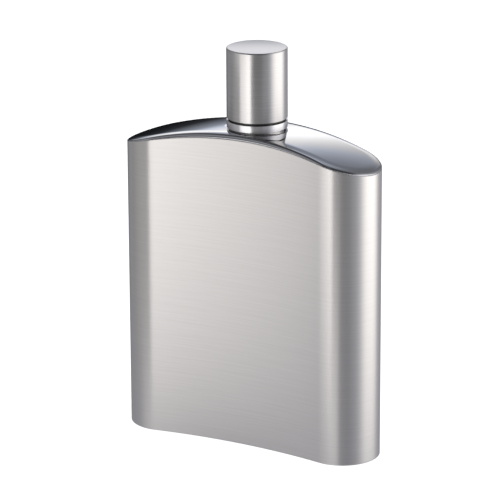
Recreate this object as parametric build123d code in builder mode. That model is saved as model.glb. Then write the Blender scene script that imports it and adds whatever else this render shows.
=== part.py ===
from build123d import *
from math import asin, cos, degrees
import os

# Hip flask: a brushed steel body bent to the hip, with a polished arched top and a tall screw cap.
# Millimetres. +Z is up and the flask stands on Z = 0. +X runs along its width, and the hollow
# (concave) face that lies against the hip looks towards -Y. The origin is the middle of the
# footprint's box, so the neck stands a little towards +Y, on the middle of the bent section.

# ---- Body ----
body_width = 95.0
body_depth = 25.6  # from the front wall to the back wall, on the centre line
hip_radius = 199.0  # bend of the surface half way between front and back
wall = 0.6  # sheet of the wrapped body
seam_height = 107.6  # top edge of the wrapped body on the centre line
seam_drop = 7.2  # how much lower that edge is at the two ends
base_edge_radius = 0.4

# ---- Top plate: crowned along the width, and a little across it ----
plate = 0.8  # sheet of the top and base plates
skirt_middle = 1.9  # height of the plate's corner above the seam, half way along the front
skirt_end = 0.9  # the same at the two ends
crown_across_drop = 0.3  # fall from the highest point to the front and back edges
shoulder_radius = 1.2  # round edge between the crowned top and the upright skirt

# ---- Base plate: a pan set into the wall, so that the flask stands on its rim ----
base_recess = 1.5

# ---- Neck and its thread ----
neck_bore_radius = 6.0
neck_wall = 1.2
neck_reach = 13.55  # from the collar up to the lip
neck_stub = 3.0  # how far the tube reaches down inside, below the crown
foot_flare = 1.6  # the foot is this much wider than the tube, and fills the plate's hole
foot_depth = 1.9  # from the crown down to the foot's lower face
lip_round = 0.5
pitch = 3.0
thread_height = 0.8
thread_slope = 0.75  # the ridge is this much wider at its root than at its crest
thread_lead_in = 2.95  # from the collar up to the middle of the ridge where it begins
neck_turns = 2.0
liner_turns = 1.5
ridge_root_sink = 0.2  # the ridge is sunk this far into its wall, so that the two are one piece

# ---- Collar ----
collar_lift = 0.15  # daylight between the crown and the collar's lower face
collar_height = 2.5
collar_break = 0.25  # broken edges

# ---- Cap ----
cap_height = 24.1
cap_wall = 0.6
cap_top_wall = 0.9
cap_edge_radius = 0.45
cap_mouth_break = 0.2
liner_wall = 1.45
liner_web = 1.5
seal = 1.5  # thickness of the seal disc

# ---- Clearances ----
cap_gap = 0.65  # from the collar up to the closed cap's shell
liner_gap = 0.12  # from the collar up to the closed cap's liner, which shows in that gap
thread_gap = 0.25  # radial, between a ridge's crest and the wall that it turns past
flank_gap = 0.22  # between the flanks of the two ridges, with the liner's ridge half way up the gap
seal_gap = 0.25  # radial, between the seal disc and the liner

# ---- What follows from those ----
end_radius = body_depth / 2
half_width = body_width / 2
bend_angle = asin((half_width - end_radius) / hip_radius)
bend_drop = hip_radius * (1 - cos(bend_angle))
neck_y = bend_drop / 2
bend_centre = (0, neck_y - hip_radius)
trim_depth = body_depth + bend_drop  # half width of the tools that trim the body from front to back
seam_radius = (half_width**2 + seam_drop**2) / (2 * seam_drop)
crown_height = seam_height + skirt_middle + crown_across_drop
crown_drop = crown_height - (seam_height - seam_drop + skirt_end)
crown_radius = (half_width**2 + crown_drop**2) / (2 * crown_drop)
crown_across_radius = (end_radius**2 + crown_across_drop**2) / (2 * crown_across_drop)

collar_bottom = crown_height + collar_lift
collar_top = collar_bottom + collar_height
neck_radius = neck_bore_radius + neck_wall
neck_lip_height = collar_top + neck_reach
foot_radius = neck_radius + foot_flare
thread_start = collar_top + thread_lead_in
ridge_middle_width = pitch / 2 - flank_gap

cap_bottom = collar_top + cap_gap
cap_top = cap_bottom + cap_height
liner_bore_radius = neck_radius + thread_height + thread_gap
liner_radius = liner_bore_radius + liner_wall
liner_bottom = collar_top + liner_gap
liner_top = cap_top - cap_top_wall
liner_thread_start = thread_start + pitch / 2
cap_radius = liner_radius + cap_wall
web_bottom = neck_lip_height + seal
seal_radius = liner_bore_radius - seal_gap

neck_axis = Axis((0, neck_y, 0), (0, 0, 1))
neck_section = Plane((0, neck_y, 0), x_dir=(1, 0, 0), z_dir=(0, -1, 0))  # local y is height


def hip_outline(inset):
    """The edges of the body's bent section with round ends, moved inwards by inset."""
    turn = degrees(bend_angle)
    with BuildLine() as outline:
        back = CenterArc(bend_centre, hip_radius + end_radius - inset, 90 - turn, 2 * turn)
        front = CenterArc(bend_centre, hip_radius - end_radius + inset, 90 - turn, 2 * turn)
        right_middle = (back @ 0 + front @ 0) / 2
        left_middle = (back @ 1 + front @ 1) / 2
        CenterArc(right_middle, end_radius - inset, -90 - turn, 180)
        CenterArc(left_middle, end_radius - inset, 90 + turn, 180)
    return outline.edges()


def crowned_block(inset, edge_radius):
    """The solid under the crowned top surface moved in by inset, with its upper edge rounded."""
    axle_height = crown_height - crown_radius
    tread_radius = crown_across_radius - inset
    crest = crown_height - inset
    tread_edge = crest - tread_radius + (tread_radius**2 - trim_depth**2) ** 0.5
    with BuildPart() as block:
        with BuildSketch(Plane.XY):
            make_face(hip_outline(inset))
        extrude(amount=crown_height)
        with BuildSketch(Plane.YZ):
            with BuildLine():
                low_front = (neck_y - trim_depth, axle_height)
                low_back = (neck_y + trim_depth, axle_height)
                tread_front = (neck_y - trim_depth, tread_edge)
                tread_back = (neck_y + trim_depth, tread_edge)
                Polyline(tread_front, low_front, low_back, tread_back)
                ThreePointArc(tread_back, (neck_y, crest), tread_front)
            make_face()
        revolve(axis=Axis((0, 0, axle_height), (0, 1, 0)), mode=Mode.INTERSECT)
        crown = block.faces().sort_by(Axis.Z)[-1]
        fillet(crown.edges(), edge_radius)
    return block.part


def ridge(wall_radius, outwards, start, turns):
    """One screw ridge, standing out from (+1) or in from (-1) a round wall about the neck's axis."""
    sunk_slope = thread_slope * (thread_height + ridge_root_sink) / thread_height
    crest_half = (ridge_middle_width - thread_slope / 2) / 2
    root_half = crest_half + sunk_slope / 2
    root = -outwards * ridge_root_sink
    crest = outwards * thread_height
    with BuildPart() as thread:
        with BuildLine() as path:
            Helix(pitch, turns * pitch, wall_radius, center=(0, neck_y, start))
        with BuildSketch(Plane(path.line @ 0, x_dir=(1, 0, 0), z_dir=path.line % 0)):
            with BuildLine():
                Polyline(
                    (root, -root_half),
                    (crest, -crest_half),
                    (crest, crest_half),
                    (root, root_half),
                    close=True,
                )
            make_face()
        sweep(path=path.line, is_frenet=True)
    return thread.part


# ---- Pieces of the flask ----
with BuildPart() as body_shell:
    with BuildSketch(Plane.XY):
        make_face(hip_outline(0))
    extrude(amount=seam_height)
    fillet(body_shell.faces().sort_by(Axis.Z)[0].edges(), base_edge_radius)
    with BuildSketch(Plane.XY):
        make_face(hip_outline(wall))
    extrude(amount=seam_height, mode=Mode.SUBTRACT)
    with BuildSketch(Plane.XZ):
        with Locations((0, seam_height - seam_radius)):
            Circle(seam_radius)
    extrude(amount=trim_depth, both=True, mode=Mode.INTERSECT)

top_outside = crowned_block(0, shoulder_radius)
top_inside = crowned_block(plate, shoulder_radius - plate)

with BuildPart() as top_plate:
    add(top_outside)
    add(top_inside, mode=Mode.SUBTRACT)
    with BuildSketch(Plane.XZ):
        with Locations((0, seam_height - seam_radius)):
            Circle(seam_radius)
    extrude(amount=trim_depth, both=True, mode=Mode.SUBTRACT)
    with BuildSketch(Plane.XY):
        with Locations((0, neck_y)):
            Circle(foot_radius)
    extrude(amount=cap_top, mode=Mode.SUBTRACT)

with BuildPart() as base_plate:
    with BuildSketch(Plane.XY):
        make_face(hip_outline(wall))
    extrude(amount=base_recess + plate)
    with BuildSketch(Plane.XY):
        make_face(hip_outline(wall + plate))
    extrude(amount=base_recess, mode=Mode.SUBTRACT)

neck_ridge = ridge(neck_radius, 1, thread_start, neck_turns)

with BuildPart() as neck:
    with BuildSketch(neck_section):
        with BuildLine():
            Polyline(
                (neck_bore_radius, crown_height - neck_stub),
                (neck_radius, crown_height - neck_stub),
                (neck_radius, crown_height - foot_depth),
                (foot_radius, crown_height - foot_depth),
                (foot_radius, collar_bottom),
                (neck_radius, collar_bottom),
                (neck_radius, neck_lip_height),
                (neck_bore_radius, neck_lip_height),
                close=True,
            )
        face = make_face()
        fillet(face.vertices().group_by(Axis.Y)[-1], lip_round)
    revolve(axis=neck_axis)
    add(neck_ridge)

with BuildPart() as collar:
    with BuildSketch(neck_section):
        with Locations((neck_radius, collar_bottom)):
            ring = Rectangle(cap_radius - neck_radius, collar_height, align=(Align.MIN, Align.MIN))
        chamfer(ring.vertices().group_by(Axis.X)[-1], collar_break)
    revolve(axis=neck_axis)

# ---- Pieces that lift off ----
with BuildPart() as cap_shell:
    with BuildSketch(neck_section):
        with BuildLine():
            Polyline(
                (0, cap_top),
                (cap_radius, cap_top),
                (cap_radius, cap_bottom),
                (liner_radius, cap_bottom),
                (liner_radius, liner_top),
                (0, liner_top),
                close=True,
            )
        face = make_face()
        outer_corners = face.vertices().group_by(Axis.X)[-1].sort_by(Axis.Y)
        fillet(outer_corners[-1], cap_edge_radius)
        chamfer(face.vertices().group_by(Axis.X)[-1].sort_by(Axis.Y)[0], cap_mouth_break)
    revolve(axis=neck_axis)

liner_ridge = ridge(liner_bore_radius, -1, liner_thread_start, liner_turns)

with BuildPart() as cap_liner:
    with BuildSketch(neck_section):
        with BuildLine():
            Polyline(
                (0, web_bottom),
                (liner_bore_radius, web_bottom),
                (liner_bore_radius, liner_bottom),
                (liner_radius, liner_bottom),
                (liner_radius, liner_top),
                (liner_bore_radius, liner_top),
                (liner_bore_radius, web_bottom + liner_web),
                (0, web_bottom + liner_web),
                close=True,
            )
        make_face()
    revolve(axis=neck_axis)
    add(liner_ridge)

with BuildPart() as cap_seal:
    with BuildSketch(Plane((0, neck_y, neck_lip_height))):
        Circle(seal_radius)
    extrude(amount=seal)

pieces = {
    "body_shell": body_shell,
    "top_plate": top_plate,
    "base_plate": base_plate,
    "neck": neck,
    "collar": collar,
    "cap_shell": cap_shell,
    "cap_liner": cap_liner,
    "cap_seal": cap_seal,
}

os.makedirs("parts", exist_ok=True)
for name, piece in pieces.items():
    piece.part.label = name
    export_step(piece.part, f"parts/{name}.step")
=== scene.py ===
# %% [markdown]
# A brushed steel hip flask, finished around its CAD model.
# The CAD holds the flask's sizes, its screw thread and how the cap moves. This script gives it
# the look of real sheet steel: it loads the CAD as a fixed frame, models the shells that show
# with smooth round edges, and makes one material for each real finish.

# %% Load the CAD frame
import bmesh
import bpy
from math import asin, atan2, cos, pi, radians, sin, sqrt
from mathutils import Matrix, Vector


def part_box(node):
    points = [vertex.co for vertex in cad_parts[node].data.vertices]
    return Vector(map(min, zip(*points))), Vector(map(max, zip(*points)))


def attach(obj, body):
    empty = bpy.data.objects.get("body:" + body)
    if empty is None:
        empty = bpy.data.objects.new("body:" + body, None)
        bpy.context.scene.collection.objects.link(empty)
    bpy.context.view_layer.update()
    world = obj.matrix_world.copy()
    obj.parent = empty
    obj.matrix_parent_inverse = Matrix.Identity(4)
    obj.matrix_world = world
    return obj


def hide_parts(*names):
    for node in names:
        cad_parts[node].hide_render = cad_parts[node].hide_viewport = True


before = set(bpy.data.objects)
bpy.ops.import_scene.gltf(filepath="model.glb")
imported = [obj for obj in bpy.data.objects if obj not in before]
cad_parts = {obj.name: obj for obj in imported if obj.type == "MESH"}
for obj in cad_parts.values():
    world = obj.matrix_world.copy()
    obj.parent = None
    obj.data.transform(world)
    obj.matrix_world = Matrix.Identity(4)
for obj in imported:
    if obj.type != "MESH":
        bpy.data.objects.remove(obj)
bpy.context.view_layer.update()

# %% [markdown]
# Every size starts from the CAD. The boxes of the nodes give the heights and widths. Only the
# sizes that no box shows, such as the bend that fits the hip, are repeated here.

# %% Sizes
MM = 0.001
TOUCH = 0.01 * MM  # points closer than this are at the same place
wall_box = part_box("body_shell")
plate_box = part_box("top_plate")
collar_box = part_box("collar")
shell_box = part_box("cap_shell")
seal_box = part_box("cap_seal")

body_depth = 25.6 * MM  # from the front wall to the back wall
hip_radius = 199.0 * MM  # bend of the surface half way between front and back
wall = 0.6 * MM  # sheet that is wrapped round the flask
plate = 0.8 * MM  # sheet of the top plate and the base
seam_drop = 7.2 * MM  # how much lower the wall's arched edge is at its two ends
skirt_end = 0.9 * MM  # how far the crowned top lies above that edge at the two ends
crown_across_drop = 0.3 * MM  # fall of the crown towards front and back
shoulder_depth = 1.5 * MM  # how far the shoulder's rounding reaches in from the wall
foot_radius = 8.8 * MM  # the neck's foot, which fills the plate's hole
foot_flare = 1.6 * MM  # the foot is this much wider than the neck's tube
base_recess = 1.5 * MM  # the base panel stays this far above the table

half_width = wall_box[1].x
end_radius = body_depth / 2
bend_angle = asin((half_width - end_radius) / hip_radius)
neck_axis = Vector(((collar_box[0].x + collar_box[1].x) / 2, (collar_box[0].y + collar_box[1].y) / 2, 0))
bend_centre = neck_axis - Vector((0, hip_radius, 0))
cap_radius = shell_box[1].x
seam_height = wall_box[1].z
crown_height = plate_box[1].z
seam_radius = (half_width**2 + seam_drop**2) / (2 * seam_drop)
crown_drop = crown_height - (seam_height - seam_drop + skirt_end)
crown_radius = (half_width**2 + crown_drop**2) / (2 * crown_drop)
crown_across_radius = (end_radius**2 + crown_across_drop**2) / (2 * crown_across_drop)
print("seam at", round(seam_height / MM, 2), "mm, crown at", round(crown_height / MM, 2), "mm")


# %% [markdown]
# The body's outline seen from above is four arcs: a long one in front, a longer one behind, and a
# half circle at each end. bmesh's spin operator draws an arc from one point, so four spins draw
# the outline. Moving it inwards by an inset only changes the radii, which keeps the number of
# points the same, so any two outlines can be bridged into a clean strip of quads.

# %% Draw the hip outline
END_STEPS = 48
LONG_STEPS = 72


def verts_in(parts):
    """The vertices among the mixed parts that an operator returns."""
    return [part for part in parts if isinstance(part, bmesh.types.BMVert)]


def chain_arc(bm, vert, centre, angle, steps):
    """Spin one vertex about an upright axis and return the last vertex of the arc."""
    made = bmesh.ops.spin(bm, geom=[vert], cent=centre, axis=(0, 0, 1), angle=angle, steps=steps)
    return verts_in(made["geom_last"])[0]


def add_ring(bm, ring):
    """Move a finished ring into the piece's bmesh and return its edges there."""
    mesh = bpy.data.meshes.new("ring")
    ring.to_mesh(mesh)
    ring.free()
    edges_before = len(bm.edges)
    bm.from_mesh(mesh)
    bpy.data.meshes.remove(mesh)
    bm.edges.ensure_lookup_table()
    return bm.edges[edges_before:]


def hip_ring(bm, inset, height):
    """A closed ring along the outline, moved in by inset; height(x, y) gives each point its z."""
    outer = hip_radius + end_radius - inset
    to_right = Vector((sin(bend_angle), cos(bend_angle), 0))
    to_left = Vector((-sin(bend_angle), cos(bend_angle), 0))
    ring = bmesh.new()
    start = ring.verts.new(bend_centre + outer * to_right)
    corner = chain_arc(ring, start, bend_centre, 2 * bend_angle, LONG_STEPS)
    corner = chain_arc(ring, corner, bend_centre + hip_radius * to_left, pi, END_STEPS)
    corner = chain_arc(ring, corner, bend_centre, -2 * bend_angle, LONG_STEPS)
    chain_arc(ring, corner, bend_centre + hip_radius * to_right, pi, END_STEPS)
    bmesh.ops.remove_doubles(ring, verts=ring.verts, dist=TOUCH)
    for vert in ring.verts:
        vert.co.z = height(vert.co.x, vert.co.y)
    return add_ring(bm, ring)


print("points round the outline:", 2 * (END_STEPS + LONG_STEPS))


# %% [markdown]
# A shell is a row of such rings with faces bridged between them. Each finished piece has its normals
# turned outwards and its shading smoothed. It rides on the empty of the CAD body it moves with, fills
# its material slot, and hides the CAD nodes it stands for, so that it takes their place.

# %% Skin and finish a piece
def bridge_all(bm, rings, closed):
    """Skin the rings one after another; closed joins the last ring to the first as well."""
    pairs = list(zip(rings, rings[1:]))
    if closed:
        pairs.append((rings[-1], rings[0]))
    for low, high in pairs:
        bmesh.ops.bridge_loops(bm, edges=low + high)


def finish_piece(bm, name, body, material, replaces):
    """Turn a bmesh into a smooth-shaded piece that rides on a body and stands for CAD nodes."""
    bmesh.ops.recalc_face_normals(bm, faces=bm.faces)
    mesh = bpy.data.meshes.new(name)
    bm.to_mesh(mesh)
    bm.free()
    mesh.shade_smooth()
    mesh.materials.append(material)
    piece = bpy.data.objects.new(name, mesh)
    bpy.context.scene.collection.objects.link(piece)
    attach(piece, body)
    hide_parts(*replaces)
    print(name, "has", len(mesh.polygons), "faces")
    return piece


# %% [markdown]
# Materials come before the pieces that wear them. Colours are picked as sRGB hex values, and one
# function turns them into the linear values that shaders work in. One more adds a shader node with
# its settings and links, so that a material reads as a short list.

# %% Colour and node helpers
def linear(code):
    """An sRGB hex colour such as '#C9C7C5' as linear red, green, blue and alpha."""
    channels = [int(code[place:place + 2], 16) / 255 for place in (1, 3, 5)]
    return [c / 12.92 if c <= 0.04045 else ((c + 0.055) / 1.055) ** 2.4 for c in channels] + [1.0]


def add_node(tree, kind, inputs=None, **settings):
    """Add one node, set its properties, and fill its inputs with values or with output sockets."""
    node = tree.nodes.new(kind)
    for name, value in settings.items():
        setattr(node, name, value)
    for name, value in (inputs or {}).items():
        if isinstance(value, bpy.types.NodeSocket):
            tree.links.new(value, node.inputs[name])
        else:
            node.inputs[name].default_value = value
    return node


def new_material(name):
    """An empty node material and its tree."""
    material = bpy.data.materials.new(name)
    material.use_nodes = True
    material.node_tree.nodes.clear()
    return material, material.node_tree


def fill_ramp(ramp_node, stops, interpolation="EASE"):
    """Give a colour ramp its stops, as (position, colour) pairs of sRGB hex or linear RGBA."""
    ramp = ramp_node.color_ramp
    ramp.interpolation = interpolation
    ramp.elements.remove(ramp.elements[-1])
    ramp.elements[0].position = stops[0][0]
    for position, _ in stops[1:]:
        ramp.elements.new(position)
    for element, (_, colour) in zip(ramp.elements, stops):
        element.color = linear(colour) if isinstance(colour, str) else colour
    return ramp_node


print("the mid grey #808080 is", round(linear("#808080")[0], 3), "in linear light")

# %% [markdown]
# Hairline stainless steel: type 304 sheet, rubbed with a belt along the flask's width before it is
# rolled round. The belt leaves fine level scratches. They scatter light up and down but hardly
# sideways, so the surface mirrors what stands around it as upright bands of light and dark.
# The shader does that with anisotropy: its grain turns round the Z axis, which is level on every
# upright wall. The scratches themselves are about 0.05 mm apart, too fine to show, so the pattern is
# drawn at 0.3 mm, long along the wall and short in height.

# %% Hairline stainless steel
def hairline_pattern(tree, grain, length):
    """Level streaks: noise stretched to length along X and Y and squeezed to grain along Z."""
    place = add_node(tree, "ShaderNodeTexCoord").outputs["Object"]
    scale = (1 / length, 1 / length, 1 / grain)
    stretched = add_node(tree, "ShaderNodeMapping", {"Vector": place, "Scale": scale})
    noise = {"Vector": stretched.outputs["Vector"], "Scale": 1.0, "Detail": 3.0, "Roughness": 0.6}
    return add_node(tree, "ShaderNodeTexNoise", noise).outputs["Fac"]


def brushed_steel(parts, pattern, colours, roughness, anisotropy, depth):
    """Finish a metal whose streak pattern varies its colour, roughness and bump a little."""
    material, tree = parts
    shade = add_node(tree, "ShaderNodeValToRGB", {"Fac": pattern})
    fill_ramp(shade, [(0.3, colours[0]), (0.7, colours[1])])
    rough = add_node(tree, "ShaderNodeMapRange", {
        "Value": pattern, "From Min": 0.3, "From Max": 0.7,
        "To Min": roughness[0], "To Max": roughness[1],
    })
    bump = add_node(tree, "ShaderNodeBump", {"Height": pattern, "Strength": 0.25, "Distance": depth})
    grain = add_node(tree, "ShaderNodeTangent", direction_type="RADIAL", axis="Z")
    shader = add_node(tree, "ShaderNodeBsdfPrincipled", {
        "Base Color": shade.outputs["Color"], "Metallic": 1.0, "Roughness": rough.outputs["Result"],
        "Anisotropic": anisotropy, "Anisotropic Rotation": 0.25,
        "Normal": bump.outputs["Normal"], "Tangent": grain.outputs["Tangent"],
    })
    add_node(tree, "ShaderNodeOutputMaterial", {"Surface": shader.outputs["BSDF"]})
    return material


hairline_parts = new_material("hairline_brushed_stainless")
hairline_steel = brushed_steel(
    hairline_parts, hairline_pattern(hairline_parts[1], 0.3 * MM, 22 * MM),
    ("#D2CFCD", "#D8D5D3"), (0.38, 0.41), 0.85, 0.0015 * MM,
)
print("body steel:", hairline_steel.name)

# %% [markdown]
# The cap and the collar are brushed while they spin, so their scratches run round them, finer and
# shorter than the body's: they are drawn at 0.22 mm. The same function makes both steels. The collar
# is turned with a finer tool, and its steel is painted a little lighter than the cap's: painted light,
# which lifts the collar where it mirrors the dark plate below it.

# %% Turned stainless steel
turned_parts = new_material("turned_stainless")
turned_steel = brushed_steel(
    turned_parts, hairline_pattern(turned_parts[1], 0.22 * MM, 10 * MM),
    ("#BDBBBA", "#CAC8C7"), (0.28, 0.35), 0.9, 0.0022 * MM,
)
# The collar's lighter colours are painted light, not a brighter metal.
collar_painted_light_parts = new_material("fine_turned_stainless_painted_lighter")
collar_painted_light_steel = brushed_steel(
    collar_painted_light_parts, hairline_pattern(collar_painted_light_parts[1], 0.22 * MM, 14 * MM),
    ("#D2D1D3", "#DAD9DB"), (0.29, 0.33), 0.85, 0.0012 * MM,
)
print("turned steels:", turned_steel.name, "and", collar_painted_light_steel.name)


# %% [markdown]
# Two steels have no direction in their shine. The cap's flat end is spun against a soft pad, and the
# neck is turned and then blasted so that the thread runs smoothly. The flat end's steel is also painted
# lighter than the cap's side: painted light on the upward-facing end. A fine noise in the roughness,
# a quarter of a millimetre wide and less, is all that such a surface needs.

# %% Even satin stainless steel
def even_steel(name, colour, grain, roughness):
    """Finish a metal whose roughness varies evenly, in spots of one grain size."""
    material, tree = new_material(name)
    place = add_node(tree, "ShaderNodeTexCoord").outputs["Object"]
    spots = add_node(tree, "ShaderNodeTexNoise", {"Vector": place, "Scale": 1 / grain, "Detail": 2.0})
    gloss = add_node(tree, "ShaderNodeMapRange", {
        "Value": spots.outputs["Fac"], "To Min": roughness[0], "To Max": roughness[1],
    })
    shader = add_node(tree, "ShaderNodeBsdfPrincipled", {
        "Base Color": linear(colour), "Metallic": 1.0, "Roughness": gloss.outputs["Result"],
    })
    add_node(tree, "ShaderNodeOutputMaterial", {"Surface": shader.outputs["BSDF"]})
    return material


# The flat end's colour is lighter than the cap's side: painted light on the upward-facing end.
painted_light_end_steel = even_steel("satin_end_stainless_painted_lighter", "#DAD9DB", 0.25 * MM, (0.26, 0.32))
satin_steel = even_steel("satin_stainless", "#C8C6C4", 0.15 * MM, (0.26, 0.36))
print("even steels:", painted_light_end_steel.name, "and", satin_steel.name)

# %% [markdown]
# The top plate is the same sheet, buffed on a felt wheel until it mirrors the room. A little
# roughness is left, and a slow, shallow waviness from the pressing that bends its reflections.

# %% Mirror-polished stainless steel
mirror_steel, tree = new_material("mirror_polished_stainless")
place = add_node(tree, "ShaderNodeTexCoord").outputs["Object"]
waves = add_node(tree, "ShaderNodeTexNoise", {"Vector": place, "Scale": 1 / (14 * MM), "Detail": 1.0})
ripple = add_node(tree, "ShaderNodeBump", {
    "Height": waves.outputs["Fac"], "Strength": 0.15, "Distance": 0.03 * MM,
})
polish = add_node(tree, "ShaderNodeTexNoise", {"Vector": place, "Scale": 1 / (0.8 * MM), "Detail": 3.0})
gloss = add_node(tree, "ShaderNodeMapRange", {
    "Value": polish.outputs["Fac"], "To Min": 0.03, "To Max": 0.06,
})
shader = add_node(tree, "ShaderNodeBsdfPrincipled", {
    "Base Color": linear("#CDCDD0"), "Metallic": 1.0, "Roughness": gloss.outputs["Result"],
    "Normal": ripple.outputs["Normal"],
})
add_node(tree, "ShaderNodeOutputMaterial", {"Surface": shader.outputs["BSDF"]})
print("top plate steel:", mirror_steel.name)

# %% [markdown]
# The cap's threaded insert is black moulded polypropylene. The mould's spark-eroded skin gives it a
# soft shine, drawn as a shallow bump with a grain of 0.12 mm.

# %% Black polypropylene
black_plastic, tree = new_material("black_polypropylene")
place = add_node(tree, "ShaderNodeTexCoord").outputs["Object"]
skin = add_node(tree, "ShaderNodeTexNoise", {"Vector": place, "Scale": 1 / (0.12 * MM), "Detail": 2.0})
grain = add_node(tree, "ShaderNodeBump", {
    "Height": skin.outputs["Fac"], "Strength": 0.2, "Distance": 0.01 * MM,
})
shader = add_node(tree, "ShaderNodeBsdfPrincipled", {
    "Base Color": linear("#17171A"), "Roughness": 0.45, "IOR": 1.49, "Normal": grain.outputs["Normal"],
})
add_node(tree, "ShaderNodeOutputMaterial", {"Surface": shader.outputs["BSDF"]})
print("liner plastic:", black_plastic.name)

# %% [markdown]
# The seal is natural food-grade silicone, a milky rubber. Light goes a little way into it, which
# subsurface scattering does, and its milkiness is uneven in soft clouds a few millimetres wide.

# %% Natural silicone
silicone, tree = new_material("natural_silicone")
place = add_node(tree, "ShaderNodeTexCoord").outputs["Object"]
cloud = add_node(tree, "ShaderNodeTexNoise", {"Vector": place, "Scale": 1 / (2.5 * MM), "Detail": 2.0})
milk = add_node(tree, "ShaderNodeValToRGB", {"Fac": cloud.outputs["Fac"]})
fill_ramp(milk, [(0.3, "#DEDDD8"), (0.7, "#E9E8E4")])
shader = add_node(tree, "ShaderNodeBsdfPrincipled", {
    "Base Color": milk.outputs["Color"], "Roughness": 0.5, "IOR": 1.41,
    "Subsurface Weight": 0.3, "Subsurface Radius": (1.0, 0.9, 0.8), "Subsurface Scale": 0.5 * MM,
})
add_node(tree, "ShaderNodeOutputMaterial", {"Surface": shader.outputs["BSDF"]})
print("seal rubber:", silicone.name)

# %% [markdown]
# The neck and the cap's liner carry the screw thread, which the CAD already has right. They keep
# their CAD meshes and only get these materials.

# %% Dress the threaded pieces
for node_name, material in (("neck", satin_steel), ("cap_liner", black_plastic)):
    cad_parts[node_name].data.materials.clear()
    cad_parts[node_name].data.materials.append(material)
print("materials:", sorted(material.name for material in bpy.data.materials))


# %% [markdown]
# The wall is one sheet wrapped round the flask. Its upper edge follows an arch, which one formula
# gives for every point of a ring. The wall is a loop of rings, up the outside, over the edge and
# down the inside. Small roundings catch the light at both edges, and a ring set close to each of
# them keeps the smooth shading from running out over the flat wall.

# %% Wall
EDGE_BREAK = 0.07 * MM
BASE_ROUND = 0.4 * MM
SUPPORT = 0.4 * MM
INNER_SUPPORT = 0.1 * MM
ROUND_STEPS = 6


def seam(x, y):
    """Height of the arched seam between the wall and the top plate."""
    return seam_height - seam_radius + sqrt(seam_radius**2 - x * x)


def level(height):
    """A height function for a flat ring."""
    return lambda x, y: height


def below_seam(depth):
    """A height function for a ring that runs parallel to the seam, depth under it."""
    return lambda x, y: seam(x, y) - depth


bm = bmesh.new()
rings = [hip_ring(bm, wall, below_seam(0)), hip_ring(bm, EDGE_BREAK + INNER_SUPPORT, below_seam(0))]
for step in range(ROUND_STEPS + 1):
    turn = pi / 2 * step / ROUND_STEPS
    rings.append(hip_ring(bm, EDGE_BREAK * (1 - sin(turn)), below_seam(EDGE_BREAK * (1 - cos(turn)))))
rings.append(hip_ring(bm, 0, below_seam(EDGE_BREAK + SUPPORT)))
rings.append(hip_ring(bm, 0, level(BASE_ROUND + SUPPORT)))
for step in range(ROUND_STEPS + 1):
    turn = pi / 2 * step / ROUND_STEPS
    rings.append(hip_ring(bm, BASE_ROUND * (1 - cos(turn)), level(BASE_ROUND * (1 - sin(turn)))))
rings.append(hip_ring(bm, wall, level(0)))
bridge_all(bm, rings, closed=True)
finish_piece(bm, "wrapped_wall", "flask", hairline_steel, ["body_shell"])


# %% [markdown]
# The top plate is pressed from one sheet: an upright skirt that meets the wall, a rounded shoulder,
# and a crowned top with a hole for the neck. Its crown bends a lot along the width and a little
# across it, like a slice of a very large barrel, and it rolls down gently near its edge. The rings
# start at the skirt, climb the shoulder, and then slide from the outline to the round hole, closer
# together near the edge, so that no seam or pole spoils the mirror.

# %% Top plate
PLATE_EDGE = 0.12 * MM
SHOULDER_SHARE = 0.92
SHOULDER_STEPS = 12
CROWN_STEPS = 20
CROWDING = 1.6
SEAT = 0.02 * MM
ROLL_WIDTH = 2.2 * MM
ROLL_DROP = 0.16 * MM


def room_inside(x, y):
    """How far a point lies inside the hip outline."""
    from_bend = Vector((x, y, 0)) - bend_centre
    bend = max(-bend_angle, min(bend_angle, atan2(from_bend.x, from_bend.y)))
    return end_radius - (from_bend - hip_radius * Vector((sin(bend), cos(bend), 0))).length


def crown(x, y):
    """Height of the crowned top surface, which rolls down a little towards its edge."""
    across = y - neck_axis.y
    sag = crown_across_radius - sqrt(crown_across_radius**2 - across * across)
    near_edge = 1 - (room_inside(x, y) - shoulder_depth) / ROLL_WIDTH
    roll = ROLL_DROP * max(0, min(1, near_edge)) ** 2
    return crown_height - crown_radius + sqrt((crown_radius - sag) ** 2 - x * x) - roll


def shoulder(turn):
    """A height function for one ring of the shoulder: it uses a share of the room above the seam."""
    return lambda x, y: crown(x, y) - SHOULDER_SHARE * (crown(x, y) - seam(x, y)) * (1 - sin(turn))


def to_hole(bm, inset, share, lower):
    """A ring that has slid from the outline to the neck's hole by share, on the crown less lower."""
    edges = hip_ring(bm, inset, level(0))
    for vert in {vert for edge in edges for vert in edge.verts}:
        away = Vector((vert.co.x, vert.co.y, 0)) - neck_axis
        vert.co = neck_axis + away.lerp(away.normalized() * foot_radius, share)
        vert.co.z = crown(vert.co.x, vert.co.y) - lower
    return edges


bm = bmesh.new()
rings = [hip_ring(bm, PLATE_EDGE, below_seam(-SEAT)), hip_ring(bm, 0, below_seam(-SEAT - PLATE_EDGE))]
rings.append(hip_ring(bm, 0, below_seam(-SEAT - 2 * PLATE_EDGE)))
for step in range(SHOULDER_STEPS + 1):
    turn = pi / 2 * step / SHOULDER_STEPS
    rings.append(hip_ring(bm, shoulder_depth * (1 - cos(turn)), shoulder(turn)))
for step in range(1, CROWN_STEPS + 1):
    rings.append(to_hole(bm, shoulder_depth, (step / CROWN_STEPS) ** CROWDING, 0))
for step in range(CROWN_STEPS, -1, -1):
    rings.append(to_hole(bm, shoulder_depth, (step / CROWN_STEPS) ** CROWDING, plate))
rings.append(hip_ring(bm, plate, below_seam(-SEAT - 2 * PLATE_EDGE)))
rings.append(hip_ring(bm, plate, below_seam(-SEAT)))
bridge_all(bm, rings, closed=True)
finish_piece(bm, "polished_top", "flask", mirror_steel, ["top_plate"])


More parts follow.
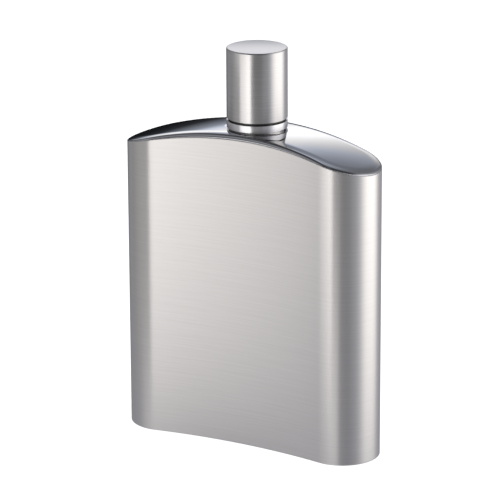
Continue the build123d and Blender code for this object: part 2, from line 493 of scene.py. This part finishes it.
# %% [markdown]
# The base is a shallow pan pushed up into the wall and welded round its rim. The flask stands on
# that rim, and the panel stays clear of the table. Its rings go round the flange and over the
# panel's corner radius; one face closes each side of the flat panel.

# %% Base plate
PAN_CORNER = 0.8 * MM
bm = bmesh.new()
under = [hip_ring(bm, wall + plate, level(0))]
for step in range(ROUND_STEPS + 1):
    turn = pi / 2 * step / ROUND_STEPS
    rise = base_recess - PAN_CORNER * (1 - sin(turn))
    under.append(hip_ring(bm, wall + plate + PAN_CORNER * (1 - cos(turn)), level(rise)))
under.append(hip_ring(bm, wall + plate + PAN_CORNER + SUPPORT, level(base_recess)))
over = [hip_ring(bm, wall + PAN_CORNER, level(base_recess + plate))]
over.append(hip_ring(bm, wall, level(base_recess + plate)))
over.append(hip_ring(bm, wall, level(0)))
bridge_all(bm, over + under, closed=False)
bmesh.ops.contextual_create(bm, geom=under[-1])
bmesh.ops.contextual_create(bm, geom=over[0])
finish_piece(bm, "base_pan", "flask", hairline_steel, ["base_plate"])


# %% [markdown]
# The collar, the cap and the seal are turned parts. Each starts as a few corners in a plane through
# the neck's axis, is spun once round it, and has its sharp circles bevelled afterwards.

# %% Turned parts
TURN_STEPS = 128


def turned(corners):
    """Spin a closed outline of (radius, height) corners about the neck's axis."""
    bm = bmesh.new()
    verts = [bm.verts.new(neck_axis + Vector((radius, 0, height))) for radius, height in corners]
    edges = [bm.edges.new(pair) for pair in zip(verts, verts[1:] + verts[:1])]
    on_axis = [edge for edge in edges if all(vert.co.x < TOUCH for vert in edge.verts)]
    for edge in on_axis:
        bm.edges.remove(edge)
    bmesh.ops.spin(
        bm, geom=bm.verts[:] + bm.edges[:], cent=neck_axis, axis=(0, 0, 1), angle=2 * pi,
        steps=TURN_STEPS, use_merge=True,
    )
    bmesh.ops.remove_doubles(bm, verts=bm.verts, dist=TOUCH / 10)
    return bm


def round_circle(bm, radius, height, amount, segments):
    """Bevel the one sharp circle at that radius and height."""

    def on_circle(vert):
        reach = (Vector((vert.co.x, vert.co.y, 0)) - neck_axis).length
        return abs(reach - radius) < TOUCH and abs(vert.co.z - height) < TOUCH

    edges = [edge for edge in bm.edges if all(on_circle(vert) for vert in edge.verts)]
    bmesh.ops.bevel(
        bm, geom=edges, offset=amount, offset_type="OFFSET", affect="EDGES", segments=segments,
        profile=0.5, material=-1,
    )


print("a turned part has", TURN_STEPS, "steps round the axis")

# %% [markdown]
# The collar is a plain ring under the cap, as wide as the cap and with crisp edges. The groove
# between collar and cap is eased by a tenth of a millimetre on each side, so that its shadow shows.

# %% Collar
COLLAR_ROUND = 0.06 * MM
GROOVE_EASE = 0.1 * MM
collar_bore = foot_radius - foot_flare
low, high = collar_box[0].z, collar_box[1].z - GROOVE_EASE
bm = turned([(collar_bore, low), (cap_radius, low), (cap_radius, high), (collar_bore, high)])
round_circle(bm, cap_radius, low, COLLAR_ROUND, 4)
round_circle(bm, cap_radius, high, COLLAR_ROUND, 4)
# The collar wears the lighter steel: painted light.
finish_piece(bm, "neck_collar", "flask", collar_painted_light_steel, ["collar"])

# %% [markdown]
# The cap's shell is drawn from sheet like a thimble, and its flat end and tall side are brushed
# while it spins. The upper edge is broken to a small radius, which shows as one bright line.

# %% Cap shell
CAP_EDGE = 0.45 * MM
CAP_MOUTH = 0.05 * MM
LEVEL_FACE = 0.99  # a face whose normal rises more than this belongs to the flat end
cap_wall = 0.6 * MM
cap_top_wall = 0.9 * MM
low, high = shell_box[0].z + GROOVE_EASE, shell_box[1].z
bm = turned([
    (0, high), (cap_radius, high), (cap_radius, low), (cap_radius - cap_wall, low),
    (cap_radius - cap_wall, high - cap_top_wall), (0, high - cap_top_wall),
])
round_circle(bm, cap_radius, high, CAP_EDGE, 6)
round_circle(bm, cap_radius, low, CAP_MOUTH, 4)
cap_piece = finish_piece(bm, "cap_sleeve", "cap", turned_steel, ["cap_shell"])
# The faces that point up take the lighter end steel: painted light on the cap's top.
cap_piece.data.materials.append(painted_light_end_steel)
for face in cap_piece.data.polygons:
    face.material_index = int(face.normal.z > LEVEL_FACE)
print("flat end:", sum(face.material_index for face in cap_piece.data.polygons), "faces")

# %% [markdown]
# The seal is a soft disc in the cap, rounded at its rim and dished a little underneath, so that the
# neck's lip presses a ring into it.

# %% Seal disc
SEAL_ROUND = 0.3 * MM
SEAL_DISH = 0.35 * MM
dish_radius = 5.2 * MM
low, high, rim = seal_box[0].z, seal_box[1].z, seal_box[1].x
bm = turned([
    (0, high), (rim, high), (rim, low), (dish_radius, low),
    (dish_radius - SEAL_DISH, low + SEAL_DISH), (0, low + SEAL_DISH),
])
round_circle(bm, rim, high, SEAL_ROUND, 4)
round_circle(bm, rim, low, SEAL_ROUND, 4)
finish_piece(bm, "seal_disc", "seal", silicone, ["cap_seal"])

# %% [markdown]
# The studio. Polished metal shows the room more than itself, so the room is designed: it is
# drawn in the world as brightness by direction. Two ramps go round the horizon, by the angle to the
# right of the camera. The lower one is the paper sweep, lit hard from the left and from the far right
# and dark in front. The upper one is the room above it: dark walls, a tall softbox on the right, and
# a ceiling that is darker still. Behind the flask a third ramp, by height, gives a low dark screen
# with a bright strip above it. Dim walls look a little blue beside the lamps.

# %% Brightness round the room
CAMERA_AZIMUTH = radians(30.14)
STUDIO_POWER = 3.3
LAMP_TINT = (1.0, 0.99, 0.98)
DIM_TINT = (0.97, 0.985, 1.05)
REAR_TINT = (0.90, 0.97, 1.12)
SWEEP = [  # (degrees to the right of the camera, brightness)
    (-180, 0.03), (-166, 0.05), (-145, 0.36), (-118, 0.44), (-100, 0.52), (-88, 0.82), (-78, 1.50),
    (-60, 2.12), (-46, 2.60), (-38, 3.10), (-28, 3.20), (-18, 2.80), (-12, 0.60), (-8, 0.40),
    (17, 0.36), (22, 0.50), (40, 0.64), (50, 0.86), (60, 1.60), (74, 2.35), (104, 2.40), (114, 1.70),
    (126, 0.60), (160, 0.45), (180, 0.15),
]
WALLS = [  # the same
    (-180, 0.03), (-155, 0.06), (-125, 0.28), (-100, 0.40), (-80, 0.42), (-65, 0.24), (-52, 0.05),
    (-17, 0.08), (17, 0.14), (40, 0.25), (55, 0.60), (70, 1.30), (110, 1.30), (125, 0.50), (150, 0.20),
    (180, 0.12),
]
REAR = [  # (degrees above the horizon, brightness)
    (-90, 0.30), (-30, 0.04), (-1, 0.01), (4, 0.03), (7, 0.16), (10, 0.36), (12, 0.88), (15, 1.20),
    (17, 1.52), (21, 1.60), (23, 1.30), (25, 1.04), (28, 0.72), (31, 0.46), (34, 0.29), (42, 0.35),
    (50, 1.00), (56, 0.50), (64, 0.20), (90, 0.18),
]
CEILING = 0.07
SWEEP_END, WALLS_START = -3, 10  # degrees above the horizon
WALLS_END, CEILING_START = 46, 60  # the same
REAR_START, REAR_FULL = 152, 174  # degrees away from the camera, to either side


def room_ramp(tree, share, stops, lowest, dim_tint):
    """A ramp of (angle, brightness) stops from lowest degrees up to minus lowest."""
    colours = []
    for angle, brightness in stops:
        tint = LAMP_TINT if brightness > 1 else dim_tint
        light = [brightness * channel / STUDIO_POWER for channel in tint]
        colours.append(((angle - lowest) / (-2 * lowest), light + [1]))
    ramp = add_node(tree, "ShaderNodeValToRGB", {"Fac": share})
    return fill_ramp(ramp, colours, "LINEAR").outputs["Color"]


print("brightest lamp:", max(brightness for _, brightness in SWEEP + WALLS + REAR))

# %% [markdown]
# The world's nodes turn each direction into two angles: around, to the right of the camera, and up
# from the horizon. Each angle is then spread over the 0 to 1 of a ramp.

# %% World directions
world = bpy.data.worlds.new("studio")
bpy.context.scene.world = world
world.use_nodes = True
tree = world.node_tree
tree.nodes.clear()
toward = add_node(tree, "ShaderNodeTexCoord").outputs["Generated"]
turned_view = add_node(tree, "ShaderNodeVectorRotate", {
    "Vector": toward, "Axis": (0, 0, 1), "Angle": -CAMERA_AZIMUTH,
}, rotation_type="AXIS_ANGLE")
parts = add_node(tree, "ShaderNodeSeparateXYZ", {"Vector": turned_view.outputs["Vector"]})
backwards = add_node(tree, "ShaderNodeMath", {0: parts.outputs["Y"], 1: -1.0}, operation="MULTIPLY")
around = add_node(tree, "ShaderNodeMath", {
    0: parts.outputs["X"], 1: backwards.outputs[0],
}, operation="ARCTAN2")
around_share = add_node(tree, "ShaderNodeMapRange", {
    "Value": around.outputs[0], "From Min": -pi, "From Max": pi,
}).outputs["Result"]
up = add_node(tree, "ShaderNodeMath", {0: parts.outputs["Z"]}, operation="ARCSINE")
up_share = add_node(tree, "ShaderNodeMapRange", {
    "Value": up.outputs[0], "From Min": -pi / 2, "From Max": pi / 2,
}).outputs["Result"]
print("direction nodes:", len(tree.nodes))

# %% [markdown]
# Mix nodes lay the walls over the sweep, the ceiling over the walls, and the rear over all of them. A
# ramp stops at 1, so its stops are divided by STUDIO_POWER and the light is multiplied by it again.
# The camera itself sees plain white.

# %% World brightness
MIX_A, MIX_B, MIX_COLOUR = 6, 7, 2  # the colour sockets of a Mix node
is_high = add_node(tree, "ShaderNodeMapRange", {
    "Value": up.outputs[0], "From Min": radians(SWEEP_END), "From Max": radians(WALLS_START),
})
sides = add_node(tree, "ShaderNodeMix", {
    "Factor": is_high.outputs["Result"], MIX_A: room_ramp(tree, around_share, SWEEP, -180, DIM_TINT),
    MIX_B: room_ramp(tree, around_share, WALLS, -180, DIM_TINT),
}, data_type="RGBA")
is_overhead = add_node(tree, "ShaderNodeMapRange", {
    "Value": up.outputs[0], "From Min": radians(WALLS_END), "From Max": radians(CEILING_START),
})
dark_ceiling = [CEILING * channel / STUDIO_POWER for channel in DIM_TINT] + [1]
roofed = add_node(tree, "ShaderNodeMix", {
    "Factor": is_overhead.outputs["Result"], MIX_A: sides.outputs[MIX_COLOUR], MIX_B: dark_ceiling,
}, data_type="RGBA")
off_axis = add_node(tree, "ShaderNodeMath", {0: around.outputs[0]}, operation="ABSOLUTE")
is_rear = add_node(tree, "ShaderNodeMapRange", {
    "Value": off_axis.outputs[0], "From Min": radians(REAR_START), "From Max": radians(REAR_FULL),
})
room = add_node(tree, "ShaderNodeMix", {
    "Factor": is_rear.outputs["Result"], MIX_A: roofed.outputs[MIX_COLOUR],
    MIX_B: room_ramp(tree, up_share, REAR, -90, REAR_TINT),
}, data_type="RGBA")
lit = add_node(tree, "ShaderNodeBackground", {
    "Color": room.outputs[MIX_COLOUR], "Strength": STUDIO_POWER,
})
plain = add_node(tree, "ShaderNodeBackground", {"Color": (1, 1, 1, 1), "Strength": 1.0})
seen = add_node(tree, "ShaderNodeLightPath").outputs["Is Camera Ray"]
backdrop = add_node(tree, "ShaderNodeMixShader", {0: seen, 1: lit.outputs[0], 2: plain.outputs[0]})
add_node(tree, "ShaderNodeOutputWorld", {"Surface": backdrop.outputs[0]})
print("world:", len(tree.nodes), "nodes")

# %% [markdown]
# The floor is a large pale sheet under the flask. It is white and gently self-lit, so that it
# stays plain in the picture and still takes a soft contact shadow. The steel doesn't mirror it.
# A table top that shows in the steel and nowhere else is painted shade: a dim sheet, darkest by the
# flask and fading out away from it. The foot of the wall sees more of it than the top does, which is
# why brushed steel darkens towards the table it stands on.

# %% Floor and table top
FLOOR_SIZE = 6.0
FLOOR_DROP = 0.02 * MM
PAPER_GLOW = 0.95
TABLE_DROP = 0.01 * MM
TABLE_RADIUS = 0.42
TABLE_SHADE_COVER = 0.87
TABLE_GLOW = 0.40
TABLE_TINT = (0.95, 0.97, 1.08, 1)


def stage_sheet(bm, name, height, material):
    """Turn a bmesh into a piece of the studio at a height."""
    mesh = bpy.data.meshes.new(name)
    bm.to_mesh(mesh)
    bm.free()
    mesh.materials.append(material)
    sheet = bpy.data.objects.new(name, mesh)
    bpy.context.scene.collection.objects.link(sheet)
    sheet.location.z = height
    print(name, "placed at a height of", round(height / MM, 2), "mm")
    return sheet


def only_mirrored(sheet):
    """Let a stage piece show in reflections and nowhere else."""
    sheet.visible_camera = sheet.visible_diffuse = False
    sheet.visible_shadow = sheet.visible_transmission = False


paper, tree = new_material("white_paper")
shader = add_node(tree, "ShaderNodeBsdfPrincipled", {
    "Base Color": linear("#E8E8E8"), "Roughness": 0.9,
    "Emission Color": (1, 1, 1, 1), "Emission Strength": PAPER_GLOW,
})
add_node(tree, "ShaderNodeOutputMaterial", {"Surface": shader.outputs["BSDF"]})
bm = bmesh.new()
bmesh.ops.create_grid(bm, x_segments=1, y_segments=1, size=FLOOR_SIZE / 2)
floor = stage_sheet(bm, "floor", -FLOOR_DROP, paper)
floor.visible_glossy = False

table_shade_paper, tree = new_material("table_painted_shade_paper")
place = add_node(tree, "ShaderNodeTexCoord").outputs["Object"]
reach = add_node(tree, "ShaderNodeVectorMath", {0: place}, operation="LENGTH").outputs["Value"]
# Painted shade: the dim sheet covers most by the flask and fades out towards its edge.
shade_cover = add_node(tree, "ShaderNodeMapRange", {
    "Value": reach, "From Min": 0.0, "From Max": TABLE_RADIUS, "To Min": TABLE_SHADE_COVER, "To Max": 0.0,
})
clear = add_node(tree, "ShaderNodeBsdfTransparent")
glow = add_node(tree, "ShaderNodeEmission", {"Color": TABLE_TINT, "Strength": TABLE_GLOW})
mixed = add_node(tree, "ShaderNodeMixShader", {
    0: shade_cover.outputs["Result"], 1: clear.outputs[0], 2: glow.outputs[0],
})
add_node(tree, "ShaderNodeOutputMaterial", {"Surface": mixed.outputs[0]})
bm = bmesh.new()
bmesh.ops.create_circle(bm, cap_ends=True, radius=TABLE_RADIUS, segments=64)
only_mirrored(stage_sheet(bm, "table_painted_shade", -TABLE_DROP, table_shade_paper))

# %% [markdown]
# Two grey cards stand close to the flask, one to its left and one in front. Each surface sees past
# a near card's edge at its own angle. So the round left end and the cap mirror the left card, while
# the hollow front, which gathers its reflections like a shaving mirror, looks past it into the
# bright sweep. The front card ends the bright band on the right end sooner than the one on the cap.

# %% Grey cards
CARD_HEIGHT = 122 * MM


def grey_card(name, near, far, glow_near, glow_far):
    """An upright card between two points on the table, which glows evenly from one to the other."""
    material, tree = new_material(name + "_paper")
    place = add_node(tree, "ShaderNodeTexCoord").outputs["Object"]
    along = add_node(tree, "ShaderNodeSeparateXYZ", {"Vector": place}).outputs["X"]
    fade = add_node(tree, "ShaderNodeMapRange", {
        "Value": along, "From Min": near.x, "From Max": far.x, "To Min": glow_near, "To Max": glow_far,
    })
    glow = add_node(tree, "ShaderNodeEmission", {"Strength": fade.outputs["Result"]})
    add_node(tree, "ShaderNodeOutputMaterial", {"Surface": glow.outputs[0]})
    bm = bmesh.new()
    foot = bm.edges.new([bm.verts.new(near), bm.verts.new(far)])
    raised = bmesh.ops.extrude_edge_only(bm, edges=[foot])["geom"]
    bmesh.ops.translate(bm, vec=(0, 0, CARD_HEIGHT), verts=verts_in(raised))
    only_mirrored(stage_sheet(bm, name, 0, material))


grey_card("left_card", Vector((-57, -80, 0)) * MM, Vector((-180, -10, 0)) * MM, 0.60, 0.30)
grey_card("front_card", Vector((24, -193, 0)) * MM, Vector((150, -150, 0)) * MM, 0.37, 0.36)

# %% [markdown]
# The camera stands a little over a metre away, to the right of the hollow face and above it, with a
# long lens, so that upright lines stay nearly parallel.

# %% Camera
CAMERA_ELEVATION = radians(17.24)
CAMERA_ROLL = radians(-0.25)
CAMERA_DISTANCE = 1.1215
LENS_MM = 237.3
AIM_SIDE = -2.6  # mm to the right of the neck's axis
AIM_HEIGHT = 66.16 * MM
FAR_CLIP = 20
aim = Vector((cos(CAMERA_AZIMUTH), sin(CAMERA_AZIMUTH), 0)) * AIM_SIDE * MM
aim += neck_axis + Vector((0, 0, AIM_HEIGHT))
away = Vector((
    sin(CAMERA_AZIMUTH) * cos(CAMERA_ELEVATION),
    -cos(CAMERA_AZIMUTH) * cos(CAMERA_ELEVATION),
    sin(CAMERA_ELEVATION),
))
lens = bpy.data.cameras.new("camera")
lens.lens = LENS_MM
lens.clip_end = FAR_CLIP
camera = bpy.data.objects.new("camera", lens)
bpy.context.scene.collection.objects.link(camera)
facing = (-away).to_track_quat("-Z", "Y").to_matrix().to_4x4()
placed = Matrix.Translation(aim + away * CAMERA_DISTANCE)
camera.matrix_world = placed @ facing @ Matrix.Rotation(CAMERA_ROLL, 4, "Z")
bpy.context.scene.camera = camera
bpy.context.scene.view_settings.view_transform = "Standard"
print("camera at", [round(value, 3) for value in camera.matrix_world.translation])
